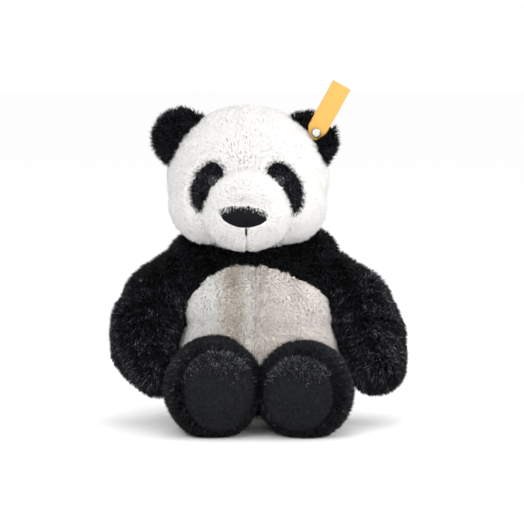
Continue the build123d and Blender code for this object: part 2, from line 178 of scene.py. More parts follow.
eye_gloss = noisy("eye_gloss", (0.006, 0.006, 0.008), (0.012, 0.012, 0.016), 150, 0.06, bump=0.02,
                  Specular_IOR_Level=0.32)
nose_cloth = woven("nose_cloth", (0.0015, 0.0015, 0.002), (0.0055, 0.0055, 0.0075), 0.0042, 0.5,
                   bump=0.7, Specular_IOR_Level=0.07)
thread = noisy("thread", (0.004, 0.004, 0.005), (0.012, 0.012, 0.015), 2500, 0.6, Specular_IOR_Level=0.2)
ribbon = woven("ribbon", (0.56, 0.29, 0.05), (0.69, 0.385, 0.085), 0.0045, 0.55, bump=0.4,
               Specular_IOR_Level=0.3)

# ------------------------------------------------------------------ stuffed forms


def link(name, mesh, *materials):
    for material in materials:
        mesh.materials.append(material)
    piece = bpy.data.objects.new(name, mesh)
    bpy.context.scene.collection.objects.link(piece)
    return piece


def baked(piece):
    """The piece's mesh with its modifiers applied."""
    bpy.context.view_layer.update()
    graph = bpy.context.evaluated_depsgraph_get()
    return bpy.data.meshes.new_from_object(piece.evaluated_get(graph))


def melted(name, blobs, voxel, ease=8):
    """Ellipsoids, each a centre and three half-axes in millimetres, melted into one stuffed form."""
    form = bmesh.new()
    for centre, radii, *turns in blobs:
        turn = turns[0] if turns else Matrix.Identity(4)
        size = Matrix.Diagonal((*[radius * MM for radius in radii], 1))
        place = Matrix.Translation(Vector(centre) * MM) @ turn @ size
        bmesh.ops.create_icosphere(form, subdivisions=4, radius=1, matrix=place)
    mesh = bpy.data.meshes.new(name)
    form.to_mesh(mesh)
    form.free()
    rough = link(name, mesh)
    melt = rough.modifiers.new("melt", "REMESH")
    melt.mode = "VOXEL"
    melt.voxel_size = voxel * MM
    smooth = rough.modifiers.new("ease", "SMOOTH")
    smooth.factor = 0.5
    smooth.iterations = ease
    result = baked(rough)
    bpy.data.objects.remove(rough)
    return result


def points_of(mesh):
    flat = np.empty(len(mesh.vertices) * 3)
    mesh.vertices.foreach_get("co", flat)
    return flat.reshape(-1, 3) / MM


def normals_of(mesh):
    flat = np.empty(len(mesh.vertices) * 3)
    mesh.vertex_normals.foreach_get("vector", flat)
    return flat.reshape(-1, 3)


def move_points(mesh, points):
    mesh.vertices.foreach_set("co", (points * MM).ravel())
    mesh.update()


def sink(mesh, distance, depth, width):
    """Pull the surface in along a seam, where distance gives how far each point is from it."""
    points = points_of(mesh)
    amount = depth * np.exp(-(distance(*points.T) / width) ** 2)
    move_points(mesh, points - normals_of(mesh) * amount[:, None])


def rest_on_floor(mesh, height=0.8):
    """Flatten what would be under the floor, or under the height of the pile's roots."""
    points = points_of(mesh)
    points[:, 2] = np.maximum(points[:, 2], height)
    move_points(mesh, points)


def panel(name, form, keep, material, body, *nodes, thickness=1.2):
    """The part of a form that keep picks out, as cloth of real thickness in place of its CAD nodes."""
    cloth = bmesh.new()
    cloth.from_mesh(form)
    drop = [face for face in cloth.faces if not keep(*(face.calc_center_median() / MM))]
    bmesh.ops.delete(cloth, geom=drop, context="FACES")
    mesh = bpy.data.meshes.new(name)
    cloth.to_mesh(mesh)
    cloth.free()
    piece = link(name, mesh)
    solid = piece.modifiers.new("cloth", "SOLIDIFY")
    solid.thickness = thickness * MM
    solid.offset = -1
    finished = baked(piece)
    bpy.data.objects.remove(piece)
    finished.materials.clear()
    finished.polygons.foreach_set("use_smooth", [True] * len(finished.polygons))
    piece = link(name, finished, material)
    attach(piece, body)
    if nodes:
        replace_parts(piece, *nodes)
    return piece


# ------------------------------------------------------------------ pile


def scatter(form, count, keep=None):
    """Even random places on a form, with the way that each faces."""
    form.calc_loop_triangles()
    corners = np.empty(len(form.loop_triangles) * 3, dtype=np.int32)
    form.loop_triangles.foreach_get("vertices", corners)
    corners = corners.reshape(-1, 3)
    points, normals = points_of(form), normals_of(form)
    a, b, c = (points[corners[:, k]] for k in range(3))
    areas = np.linalg.norm(np.cross(b - a, c - a), axis=1)
    chosen = rng.choice(len(areas), size=count, p=areas / areas.sum())
    u, v = rng.random(count), rng.random(count)
    over = u + v > 1
    u[over], v[over] = 1 - u[over], 1 - v[over]
    weights = np.stack([1 - u - v, u, v], axis=1)[:, :, None]
    places = (points[corners[chosen]] * weights).sum(axis=1)
    facing = (normals[corners[chosen]] * weights).sum(axis=1)
    facing /= np.linalg.norm(facing, axis=1)[:, None]
    if keep is not None:
        kept = keep(*places.T)
        places, facing = places[kept], facing[kept]
    return places, facing


def drift(places, grain, seed):
    """A smooth random push for each place, which wanders over the given grain in millimetres."""
    source = np.random.default_rng(seed)
    push = np.zeros_like(places)
    for octave in range(3):
        waves = source.normal(size=(3, 3)) * (1.7 ** octave) / grain
        push += np.sin(places @ waves + source.random(3) * 6.28) / (1.3 ** octave)
    return push / 2.0


def unit(vectors):
    return vectors / np.maximum(np.linalg.norm(vectors, axis=1), 1e-9)[:, None]


STRANDS_PER_PIECE = 19900
STRAND_POINTS = 7  # three at the root, three in the middle and the tip
PILE_FLOOR = 0.15
SIDES = np.array([(0, 2, 1)] + [(k, (k + 1) % 3, 3 + (k + 1) % 3) for k in range(3)]
                 + [(k, 3 + (k + 1) % 3, 3 + k) for k in range(3)]
                 + [(3 + k, 3 + (k + 1) % 3, 6) for k in range(3)])


def strand_piece(name, places, facing, length, width, lean, tones, body):
    """Curved, tapering strands as one closed mesh each, in one piece."""
    count = len(places)
    base = unit(facing + 0.45 * lean)
    upper = unit(0.75 * facing + lean)
    middle = places + base * (0.5 * length)[:, None]
    tip = middle + upper * (0.5 * length)[:, None]
    across = unit(np.cross(base, rng.normal(size=(count, 3))))
    along = np.cross(base, across)
    points = np.empty((count, STRAND_POINTS, 3))
    for k in range(3):
        angle = 2 * math.pi * k / 3
        ring = math.cos(angle) * across + math.sin(angle) * along
        points[:, k] = places - 0.5 * facing + ring * width[:, None]
        points[:, 3 + k] = middle + ring * (0.8 * width)[:, None]
    points[:, 6] = tip
    points[:, :, 2] = np.maximum(points[:, :, 2], PILE_FLOOR)
    faces = (SIDES[None] + STRAND_POINTS * np.arange(count)[:, None, None]).reshape(-1)
    materials, shares, slot = tones
    tone = rng.choice(len(materials), size=count, p=shares)
    mesh = bpy.data.meshes.new(name)
    mesh.vertices.add(count * STRAND_POINTS)
    mesh.vertices.foreach_set("co", (points * MM).ravel())
    mesh.loops.add(len(faces))
    mesh.loops.foreach_set("vertex_index", faces)
    mesh.polygons.add(len(faces) // 3)
    mesh.polygons.foreach_set("loop_start", np.arange(0, len(faces), 3))
    mesh.polygons.foreach_set("use_smooth", np.ones(len(faces) // 3, dtype=bool))
    mesh.polygons.foreach_set("material_index", np.repeat(tone, len(SIDES)))
    mesh.update(calc_edges=True)
    piece = link(name, mesh, *materials)
    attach(piece, body)
    return piece


DOWN = (0, -0.1, -0.6)


def pile(name, form, density, length, width, tones, body, keep=None, comb=DOWN, tuft=0.35, stray=0.18,
         trim=None):
    """A coat of pile on a form, in as many pieces as it needs.

    density is strands to the square millimetre over the whole form, before keep picks some out. comb is the
    way that they lean, or a function that gives it for each place; tuft gathers them and stray parts them.
    trim gives how much of its length a strand has at x, y, z.
    """
    form.calc_loop_triangles()
    area = sum(triangle.area for triangle in form.loop_triangles) / MM**2
    places, facing = scatter(form, int(area * density), keep)
    count = len(places)
    lean = comb(places) if callable(comb) else np.broadcast_to(np.array(comb, dtype=float), places.shape)
    lean = lean + tuft * drift(places, 2.2, 5) + 0.6 * tuft * drift(places, 9.0, 8)
    lean = lean + stray * rng.normal(size=places.shape)
    lean = lean - facing * (lean * facing).sum(axis=1)[:, None]
    lengths = length * (0.72 + 0.4 * rng.random(count)) * (1 + 0.12 * drift(places, 6.0, 9)[:, 0])
    if trim is not None:
        lengths = lengths * trim(*places.T)
    widths = width * (0.75 + 0.5 * rng.random(count))
    for index, start in enumerate(range(0, count, STRANDS_PER_PIECE)):
        part = slice(start, start + STRANDS_PER_PIECE)
        strand_piece(f"{name}_{index + 1}", places[part], facing[part], lengths[part], widths[part],
                     lean[part], tones, body)


# ------------------------------------------------------------------ forms of the toy


def chain(stops, steps=7):
    """Balls of gently changing size strung along the stops, for a stuffed limb."""
    blobs = []
    for (start, first), (end, last) in zip(stops, stops[1:]):
        for k in range(steps):
            share = k / steps
            centre = [s + (e - s) * share for s, e in zip(start, end)]
            blobs.append((centre, [first + (last - first) * share] * 3))
    end, last = stops[-1]
    return blobs + [(end, [last] * 3)]


head_x, head_y, head_z = HEAD
muzzle_x = MUZZLE[0]

SKULL = [
    (HEAD, (62, 54, 55.5)),
    ((head_x + 31, 6, 178), (29, 34, 28)),
    ((head_x - 31, 6, 178), (29, 34, 28)),
]
SNOUT = [
    (MUZZLE, (33.5, 31.5, 27.5)),
    ((muzzle_x, -29, 178), (29.5, 24, 28)),
]
head_form = melted("head_form", SKULL + SNOUT, 2.2, ease=8)
skull_form = melted("skull_form", SKULL, 2.4, ease=8)


def chin_seam(x, y, z):
    """Distance from the seam that runs down from the nose, which is only there below the nose."""
    below = np.clip((z - 166) / 4, 0, None) + np.clip((y + 25) / 4, 0, None)
    return np.hypot(x - muzzle_x, 3 * below)


sink(head_form, chin_seam, 2.4, 3.0)

# the wide bottom, then the chest, the shoulders and what joins them
torso_form = melted("torso_form", [
    ((0, TORSO_Y, 52), (65, 65, 53)),
    ((0, TORSO_Y, 34), (61, 62, 34)),
    ((0, TORSO_Y, 90), (61, 56, 46)),
    ((41, TORSO_Y + 6, 131), (22, 25, 24)),
    ((-50, TORSO_Y + 6, 128), (22, 25, 24)),
    ((40, TORSO_Y, 112), (24, 28, 24)),
    ((-42, TORSO_Y, 112), (24, 28, 24)),
    ((-3, TORSO_Y + 6, 122), (58, 30, 25)),
], 3.0, ease=16)


def belly_seam(x, y, z):
    """Distance from the seam down the middle of the belly, which leans a little."""
    return np.hypot(x - BELLY_MIDDLE - 0.02 * (z - 80), 3 * np.clip(y / 4, 0, None))


sink(torso_form, belly_seam, 2.6, 3.6)
rest_on_floor(torso_form)
neck_form = melted("neck_form", [(NECK, (34, 34, 30))], 3.0)

# from shoulder to paw: place and radius
ARM_STOPS = {
    "left": [((56, 31, 117), 18.5), ((82, 24, 95), 22.5), ((92, 15, 71), 23), ((95.5, 5, 47), 20)],
    "right": [((-58, 31, 121), 19), ((-83, 25, 100), 23), ((-92.5, 16, 77), 24), ((-95.5, 12, 61), 21.5),
              ((-82, 6, 44), 18.5)],
}
arm_forms = {side: melted(f"arm_{side}_form", chain(stops), 2.8, ease=8) for side, stops in ARM_STOPS.items()}

# Values that differ with the side are kept by its sign: 1 is left, -1 is right.
LEG_Y = -48
LEG_CLEARANCE = 1
LEG_BLUNT = 4.0  # how square the end of a leg is: 2 is round
LEG_HALF_WIDTH, LEG_HALF_LENGTH = 33.0, 41.0
LEG_HALF_HEIGHT = {1: 32.8, -1: 34.6}
SOLE_SIDE = 31.8
SOLE_HALF_WIDTH, SOLE_BULGE, SOLE_SINK = 28.0, 9.5, 1.5
SOLE_HEIGHT = {1: (34.8, 28.8), -1: (37.0, 31.0)}  # middle, half height


def leg(side):
    """A blunt tube with a rounded rim, lying on the floor."""
    form = bmesh.new()
    place = Matrix.Translation(Vector((side * LEG_X, LEG_Y, LEG_HALF_HEIGHT[side] + LEG_CLEARANCE)) * MM)
    bmesh.ops.create_icosphere(form, subdivisions=6, radius=1)
    for vert in form.verts:
        x, y, z = vert.co
        ring = math.hypot(x, z)
        grow = (ring ** LEG_BLUNT + abs(y) ** LEG_BLUNT) ** (-1 / LEG_BLUNT)
        vert.co = Vector((x * grow * LEG_HALF_WIDTH, y * grow * LEG_HALF_LENGTH,
                          z * grow * LEG_HALF_HEIGHT[side])) * MM
    bmesh.ops.transform(form, matrix=place, verts=form.verts)
    mesh = bpy.data.meshes.new("leg_form")
    form.to_mesh(mesh)
    form.free()
    rest_on_floor(mesh)
    return mesh


def sole(side):
    """The stuffed disc that closes the foot, bulging in the middle."""
    middle, half_height = SOLE_HEIGHT[side]
    form = bmesh.new()
    bmesh.ops.create_icosphere(form, subdivisions=5, radius=1)
    for vert in form.verts:
        x, y, z = vert.co
        vert.co = Vector((side * SOLE_SIDE + x * SOLE_HALF_WIDTH, SOLE_Y + SOLE_SINK + y * SOLE_BULGE,
                          middle + z * half_height)) * MM
    mesh = bpy.data.meshes.new("sole_form")
    form.to_mesh(mesh)
    form.free()
    return mesh


leg_forms = {"left": leg(1), "right": leg(-1)}
sole_forms = {"left": sole(1), "right": sole(-1)}

EAR_RADII = (22.0, 6.5, 21.0)


def ear_centre_of(side):
    """The middle of an ear; the one with the ribbon droops a little."""
    droop = 3.5 if side > 0 else 1.0
    return (head_x + side * EAR_SIDE - droop, head_y - 5, head_z + EAR_RISE - droop)


def ear(side):
    turn = Matrix.Rotation(-side * EAR_TURN, 4, "Z")
    return melted("ear_form", [(ear_centre_of(side), EAR_RADII, turn)], 1.8, ease=4)


ear_forms = {"left": ear(1), "right": ear(-1)}
tail_form = melted("tail_form", [((0, 87, 22), (12, 12, 12))], 1.8, ease=4)

# ------------------------------------------------------------------ cloth under the pile


EAR_LINE_Y = 26
NOSE_BASE_Z = 170
GUSSET_HALF = 17
SEAT_Z = 12
FRONT_Y = 14
SIDE_X = 58
SIDE_TOP = 78
LAP_Z = 26
LAP_HALF = 30


def within(x, y, z, centre, radii):
    """Whether places are in an ellipsoid."""
    return (((x - centre[0]) / radii[0]) ** 2 + ((y - centre[1]) / radii[1]) ** 2
            + ((z - centre[2]) / radii[2]) ** 2 < 1)


def belly_top(x):
    """How high the pale belly goes."""
    across, up = zip(*BELLY_EDGE)
    return np.interp(x, across, up)


def in_belly(x, y, z):
    """The pale front: under the curved edge, and round the sides to the back panels under the arms."""
    front = ((z > LAP_Z) | (abs(x) > LAP_HALF)) & (z < belly_top(x))
    side = ((y >= FRONT_Y) | (abs(x) > SIDE_X)) & (z < SIDE_TOP)
    return (y < TORSO_Y) & ((y < FRONT_Y) & front | side)


def in_muzzle(x, y, z):
    return (within(x, y, z, (muzzle_x, -22, 173), (35, 34, 30))
            | within(x, y, z, (muzzle_x, -29, 178), (31.5, 27, 30.5)))


def in_mask(x, y, z):
    """The face round the muzzle, in front of the seam at the ears."""
    return not in_muzzle(x, y, z) and y <= EAR_LINE_Y


def in_gusset(x, z):
    """The strip over the middle of the forehead."""
    return z > NOSE_BASE_Z and abs(x - head_x) < GUSSET_HALF


def in_chin(x, y, z):
    return in_muzzle(x, y, z) and z <= NOSE_BASE_Z


# piece, CAD node, and where it is
HEAD_PANELS = [
    ("muzzle_bridge_cloth", "muzzle_bridge", lambda x, y, z: in_muzzle(x, y, z) and z > NOSE_BASE_Z),
    ("chin_left_cloth", "chin_left", lambda x, y, z: in_chin(x, y, z) and x > muzzle_x),
    ("chin_right_cloth", "chin_right", lambda x, y, z: in_chin(x, y, z) and x <= muzzle_x),
    ("forehead_gusset_cloth", "forehead_gusset", lambda x, y, z: in_mask(x, y, z) and in_gusset(x, z)),
    ("cheek_left_cloth", "cheek_left",
     lambda x, y, z: in_mask(x, y, z) and x > head_x and not in_gusset(x, z)),
    ("cheek_right_cloth", "cheek_right",
     lambda x, y, z: in_mask(x, y, z) and x <= head_x and not in_gusset(x, z)),
    ("head_back_left_cloth", "head_back_left", lambda x, y, z: y > EAR_LINE_Y and x > head_x),
    ("head_back_right_cloth", "head_back_right", lambda x, y, z: y > EAR_LINE_Y and x <= head_x),
]
for name, node, keep in HEAD_PANELS:
    panel(name, head_form, keep, white_backing, "head", node)


def in_pale_belly(x, y, z):
    return z > SEAT_Z and in_belly(x, y, z)


def in_back_yoke(y, z):
    return y >= TORSO_Y and z > BACK_YOKE_Z


def in_lower_back(y, z):
    return y >= TORSO_Y and SEAT_Z < z <= BACK_YOKE_Z


# piece, CAD node, where it is, material and slot
TORSO_PANELS = [
    ("seat_cloth", "seat_panel", lambda x, y, z: z <= SEAT_Z, white_backing, "white_plush"),
    ("belly_left_cloth", "belly_left", lambda x, y, z: in_pale_belly(x, y, z) and x > BELLY_MIDDLE,
     cream_backing, "cream_plush"),
    ("belly_right_cloth", "belly_right", lambda x, y, z: in_pale_belly(x, y, z) and x <= BELLY_MIDDLE,
     cream_backing, "cream_plush"),
    ("chest_yoke_cloth", "chest_yoke", lambda x, y, z: z > SEAT_Z and y < TORSO_Y and not in_belly(x, y, z),
     black_backing, "black_plush"),
    ("back_yoke_left_cloth", "back_yoke_left", lambda x, y, z: in_back_yoke(y, z) and x > 0,
     black_backing, "black_plush"),
    ("back_yoke_right_cloth", "back_yoke_right", lambda x, y, z: in_back_yoke(y, z) and x <= 0,
     black_backing, "black_plush"),
    ("lower_back_left_cloth", "lower_back_left", lambda x, y, z: in_lower_back(y, z) and x > 0,
     white_backing, "white_plush"),
    ("lower_back_right_cloth", "lower_back_right", lambda x, y, z: in_lower_back(y, z) and x <= 0,
     white_backing, "white_plush"),
]
for name, node, keep, material, slot in TORSO_PANELS:
    panel(name, torso_form, keep, material, "torso", node)


def everywhere(x, y, z):
    return True


def stuffing(name, form, body, *nodes, depth=1.6):
    """The fibre inside a form, which fills the cloth and stands for the stuffing nodes."""
    mesh = form.copy()
    mesh.name = name
    move_points(mesh, points_of(mesh) - normals_of(mesh) * depth)
    mesh.materials.clear()
    mesh.polygons.foreach_set("use_smooth", [True] * len(mesh.polygons))
    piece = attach(link(name, mesh, fibre), body)
    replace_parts(piece, *nodes)
    return piece


stuffing("head_fibre", head_form, "head", "head_stuffing", "muzzle_stuffing")
stuffing("torso_fibre", torso_form, "torso", "torso_stuffing")
stuffing("neck_fibre", neck_form, "neck", "neck_stuffing")

panel("tail_cloth", tail_form, everywhere, white_backing, "torso", "tail")
panel("neck_cloth", neck_form, everywhere, black_backing, "neck")

for side, sign in (("left", 1), ("right", -1)):
    stuffing(f"arm_{side}_fibre", arm_forms[side], f"arm_{side}", f"arm_{side}_stuffing")
    stuffing(f"leg_{side}_fibre", leg_forms[side], f"leg_{side}", f"leg_{side}_stuffing")
    limb = f"arm_{side}"
    for half, towards in (("outer", 1), ("inner", -1)):
        def keep(x, y, z):
            """One side of a seam that leans with the arm."""
            return towards * (sign * x - 70 + 0.22 * (z - 120)) > 0

        panel(f"{limb}_{half}_cloth", arm_forms[side], keep, black_backing, limb,
                                f"{limb}_{half}_panel")
    limb = f"leg_{side}"
    for half, towards in (("upper", 1), ("lower", -1)):
        def keep(x, y, z):
            return towards * (z - LEG_Z) > 0

        panel(f"{limb}_{half}_cloth", leg_forms[side], keep, black_backing, limb,
                                f"{limb}_{half}_panel")
    panel(f"{limb}_sole_cloth", sole_forms[side], everywhere, sole_backing, limb,
                            f"{limb}_sole_pad")
    turn = -sign * EAR_TURN
    ear_x, ear_y, _ = ear_centre_of(sign)
    for half, towards in (("front", 1), ("back", -1)):
        def keep(x, y, z):
            return towards * (math.sin(turn) * (x - ear_x) - math.cos(turn) * (y - ear_y)) > 0

        panel(f"ear_{side}_{half}_cloth", ear_forms[side], keep, black_backing, "head",
                                f"ear_{side}_{half}")

# ------------------------------------------------------------------ face


def surface_at(form):
    """A function that finds the form's surface from the front."""
    tree = BVHTree.FromPolygons([vert.co for vert in form.vertices],
                                [tuple(face.vertices) for face in form.polygons])

    def front(x, z):
        """The point of the form seen at x, z from the front, in millimetres, and the way it faces."""
        hit, normal, _, _ = tree.ray_cast(Vector((x, -300, z)) * MM, Vector((0, 1, 0)))
        return hit / MM, normal

    return front


face_at = surface_at(head_form)
skull_at = surface_at(skull_form)


def applique(name, at, centre, half, tilt, rise, material, rim=0.35, egg=0.0, rings=14, around=80):
    """A padded oval sewn on the face: centre and half are (across, up), laid on the head and domed.

    rise is its height in the middle, rim the share of it left at the edge, and egg widens its upper half.
    """
    shape = bmesh.new()
    cos_tilt, sin_tilt = math.cos(tilt), math.sin(tilt)
    rows = []
    for ring in range(1, rings + 1):
        share = ring / rings
        row = []
        for k in range(around):
            angle = 2 * math.pi * k / around
            u = share * half[0] * math.cos(angle) * (1 + egg * math.sin(angle))
            w = share * half[1] * math.sin(angle)
            hit, normal = at(centre[0] + u * cos_tilt - w * sin_tilt, centre[1] + u * sin_tilt + w * cos_tilt)
            dome = rise * ((1 - share ** 3) ** 0.5 * (1 - rim) + rim)
            row.append(shape.verts.new((hit + normal * dome) * MM))
        rows.append(row)
    hit, normal = at(*centre)
    top = shape.verts.new((hit + normal * rise) * MM)
    buried = [shape.verts.new(vert.co + Vector((0, (rise * rim + 1.2) * MM, 0))) for vert in rows[-1]]
    under = shape.verts.new((hit + Vector((0, 2.0, 0))) * MM)
    rows.append(buried)
    for k in range(around):
        after = (k + 1) % around
        shape.faces.new((top, rows[0][after], rows[0][k]))
        for inner, outer in zip(rows, rows[1:]):
            shape.faces.new((inner[k], inner[after], outer[after], outer[k]))
        shape.faces.new((under, buried[k], buried[after]))
    bmesh.ops.recalc_face_normals(shape, faces=shape.faces)
    mesh = bpy.data.meshes.new(name)
    shape.to_mesh(mesh)
    shape.free()
    mesh.polygons.foreach_set("use_smooth", [True] * len(mesh.polygons))
    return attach(link(name, mesh, material), "head")


NOSE = (-12.0, 171.6)
NOSE_HALF = (18.9, 8.5)
NOSE_TILT = -0.07
nose = applique("nose_cover", face_at, NOSE, NOSE_HALF, math.radians(-4), 3.2, nose_cloth, rim=0.5,
                egg=0.24)
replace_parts(nose, "nose")

# seen from the front: centre, half size and tilt
PATCHES = {"left": ((19.0, 192.5), (13.0, 21.5), math.radians(-24)),
           "right": ((-39.5, 194.0), (11.8, 20.0), math.radians(22))}
EYES = {"left": (15.5, 198.6), "right": (-35.5, 198.6)}
EYE_RADIUS, EYE_DOME, EYE_PROUD = 5.8, 4.4, 0.6
EYE_SKIRT = (EYE_RADIUS * 0.92, -2.5)  # radius and height of its hidden end
patches = {}
for side, (centre, half, tilt) in PATCHES.items():
    patches[side] = applique(f"eye_patch_{side}_cloth", skull_at, centre, half, -tilt, 1.0, black_backing,
                             rim=0.8)
    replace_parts(patches[side], f"eye_patch_{side}")


def eye(side):
    """A glossy dome on a short skirt, facing the way the face does there."""
    hit, normal = skull_at(*EYES[side])
    facing = (normal + Vector((0, -1.2, 0))).normalized()
    shape = bmesh.new()
    steps, around = 15, 64
    slopes = [0.5 * math.pi * (1 - step / steps) for step in range(1, steps + 1)]
    profile = [(EYE_RADIUS * math.cos(a), EYE_DOME * math.sin(a)) for a in slopes] + [EYE_SKIRT]
    turns = [2 * math.pi * k / around for k in range(around)]
    rings = [[shape.verts.new(Vector((radius * math.cos(a), radius * math.sin(a), height)) * MM)
              for a in turns] for radius, height in profile]
    top = shape.verts.new(Vector((0, 0, EYE_DOME)) * MM)
    for k in range(around):
        after = (k + 1) % around
        shape.faces.new((top, rings[0][k], rings[0][after]))
        for inner, outer in zip(rings, rings[1:]):
            shape.faces.new((inner[k], outer[k], outer[after], inner[after]))
    shape.faces.new(list(reversed(rings[-1])))
    bmesh.ops.recalc_face_normals(shape, faces=shape.faces)
    turn = facing.to_track_quat("Z", "Y").to_matrix().to_4x4()
    place = Matrix.Translation((hit + facing * EYE_PROUD) * MM) @ turn
    bmesh.ops.transform(shape, matrix=place, verts=shape.verts)
    mesh = bpy.data.meshes.new(f"eye_{side}_dome")
    shape.to_mesh(mesh)
    shape.free()
    mesh.polygons.foreach_set("use_smooth", [True] * len(mesh.polygons))
    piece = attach(link(f"eye_{side}_dome", mesh, eye_gloss), "head")
    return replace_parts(piece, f"eye_{side}")


for side in EYES:
    eye(side)

MOUTH_X = muzzle_x - 0.6
MOUTH_TOP, MOUTH_END = 163.8, 156.8
MOUTH_PROUD = 1.6
mouth = bpy.data.curves.new("mouth_thread", "CURVE")
mouth.dimensions = "3D"
mouth.bevel_depth = 0.7 * MM
mouth.bevel_resolution = 3
line = mouth.splines.new("POLY")
stops = np.linspace(MOUTH_TOP, MOUTH_END, 9)
line.points.add(len(stops) - 1)
for point, z in zip(line.points, stops):
    hit, _ = face_at(MOUTH_X, z)
    point.co = (*((hit + Vector((0, -MOUTH_PROUD, 0))) * MM), 1)
mouth_piece = bpy.data.objects.new("mouth_thread", mouth)
mouth.materials.append(thread)
bpy.context.scene.collection.objects.link(mouth_piece)
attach(mouth_piece, "head")
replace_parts(mouth_piece, "mouth_stitch")

# ------------------------------------------------------------------ ribbon at the ear

tag_low, tag_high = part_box("ear_tag")
rivet_low, rivet_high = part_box("rivet_cap")
RIVET = ((rivet_low + rivet_high) / 2) / MM
TAG_LEAN = math.radians(29)
TAG_WIDTH, TAG_LENGTH, TAG_BELOW = 16.0, 50.0, 6.0  # TAG_BELOW is what hangs under the rivet
TAG_FOLD, TAG_HALF_GAP = 0.7, 0.55
tag_y = (tag_low.y + tag_high.y) / 2 / MM
tag_up = Vector((math.sin(TAG_LEAN), 0, math.cos(TAG_LEAN)))
tag_across = Vector((math.cos(TAG_LEAN), 0, -math.sin(TAG_LEAN)))


def tag_ribbon():
    """One strip up the front, over a soft fold at the top and down the back, gathered at the rivet."""
    front = np.linspace(-TAG_BELOW, TAG_LENGTH - TAG_BELOW - TAG_FOLD, 40)
    fold = [(front[-1] + TAG_FOLD * math.sin(a), -TAG_HALF_GAP * math.cos(a))
            for a in np.linspace(0, math.pi, 9)[1:-1]]
    run = ([(along, -TAG_HALF_GAP) for along in front] + fold
           + [(along, TAG_HALF_GAP) for along in front[::-1]])
    strip = bmesh.new()
    columns = 12
    rows = []
    for along, depth in run:
        above = along + TAG_BELOW
        taper = 0.30 + 0.70 * min(1.0, (above / 9.0)) ** 0.8
        bow = 0.9 * math.sin(math.pi * above / TAG_LENGTH) - 0.6 * math.exp(-above / 5)
        row = []
        for k in range(columns + 1):
            across = (k / columns - 0.5) * TAG_WIDTH * taper
            curl = 0.25 * math.cos(math.pi * (k / columns - 0.5) * 2) * (1 if along > 6 else 0.3)
            place = RIVET + tag_up * along + tag_across * across
            row.append(strip.verts.new(Vector((place.x, tag_y + depth - bow - curl, place.z)) * MM))
        rows.append(row)
    for lower, upper in zip(rows, rows[1:]):
        for k in range(columns):
            strip.faces.new((lower[k], lower[k + 1], upper[k + 1], upper[k]))
    mesh = bpy.data.meshes.new("tag_strip")
    strip.to_mesh(mesh)
    strip.free()
    rough = link("tag_strip", mesh)
    solid = rough.modifiers.new("cloth", "SOLIDIFY")
    solid.thickness = 0.3 * MM
    solid.offset = 0
    mesh = baked(rough)
    bpy.data.objects.remove(rough)
    mesh.polygons.foreach_set("use_smooth", [True] * len(mesh.polygons))
    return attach(link("tag_ribbon", mesh, ribbon), "ear_tag")


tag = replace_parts(tag_ribbon(), "ear_tag")

# ------------------------------------------------------------------ pile over the cloth


def inside(x, z, centre, half, tilt=0.0, grow=1.0):
    """Whether places seen from the front fall in an ellipse."""
    across, up = x - centre[0], z - centre[1]
    u = across * math.cos(tilt) + up * math.sin(tilt)
    w = up * math.cos(tilt) - across * math.sin(tilt)
    return (u / (half[0] * grow)) ** 2 + (w / (half[1] * grow)) ** 2 < 1


SNOUT_STEP = 1.6
SKULL_REACH = (60, 52, 52)
HEAD_NECK_REACH, TORSO_NECK_REACH = 37, 33
NECK_PILE_Z = 128
SEAT_PILE_Z = 2.5
ARM_PAINTED_GLINT_TOP = 116
LEG_PILE_BACK, LEG_PAINTED_GLINT_FRONT = 2, -82
SOLE_BACK, SOLE_FRONT = -60, SOLE_Y + 1
SOLE_RIM = 2.5


def on_skull(x, y, z):
    """Whether places seen from the front are on the skull, and not on the snout that stands before it."""
    return np.array([b > skull_at(a, c)[0].y - SNOUT_STEP for a, b, c in zip(x, y, z)], dtype=bool)


def near_neck(x, y, z, reach):
    return (x - NECK[0]) ** 2 + (y - NECK[1]) ** 2 + (z - NECK[2]) ** 2 < reach ** 2


def off_skull(x, y, z):
    return ~within(x, y, z, HEAD, SKULL_REACH)


def head_keep(x, y, z):
    """The head but for the nose, the eye patches, the mouth and what is in the neck."""
    bare = inside(x, z, NOSE, NOSE_HALF, NOSE_TILT, 0.84) & (y < 0)
    for centre, half, tilt in PATCHES.values():
        under = np.flatnonzero(inside(x, z, centre, half, -tilt, 0.97) & (y < 0))
        bare[under] |= on_skull(x[under], y[under], z[under])
    bare |= (np.abs(x - MOUTH_X) < 1.5) & (z > MOUTH_END - 0.5) & (z < MOUTH_TOP) & (y < 0)
    return ~bare & ~near_neck(x, y, z, HEAD_NECK_REACH)


def head_trim(x, y, z):
    """Shorter pile on the muzzle and round the eyes, and shorter still along the chin's seam."""
    short = in_muzzle(x, y, z)
    for centre, half, tilt in PATCHES.values():
        short |= inside(x, z, centre, half, -tilt, 1.2) & (y < 0)
    seam = 1 - 0.35 * np.exp(-((x - MOUTH_X) / 1.6) ** 2) * (z < MOUTH_TOP) * (y < 0)
    return seam * np.where(short, 0.72, 1.0)


def from_nose(places):
    """Outwards from the nose, and down over its top edge."""
    away = 0.8 * unit(places - np.array((NOSE[0], -50, 180))) + np.array((0, 0, -0.25))
    over_nose = np.exp(-((places[:, 2] - NOSE[1] - 10) / 4) ** 2 - ((places[:, 0] - NOSE[0]) / 17) ** 2)
    over_nose *= places[:, 1] < -20
    return away * (1 - over_nose[:, None]) + over_nose[:, None] * np.array((0, -0.3, -1.1))


pile("head_pile", head_form, 2.9, 5.6, 0.38, WHITE, "head", head_keep, from_nose, tuft=0.38, stray=0.16,
     trim=head_trim)


def above_nose(x, y, z):
    over = z - NOSE[1] - NOSE_HALF[1] + 0.07 * (x - NOSE[0]) + 0.02 * (x - NOSE[0]) ** 2
    return (over > -1) & (over < 3.5) & (np.abs(x - NOSE[0]) < 15) & (y < -20)


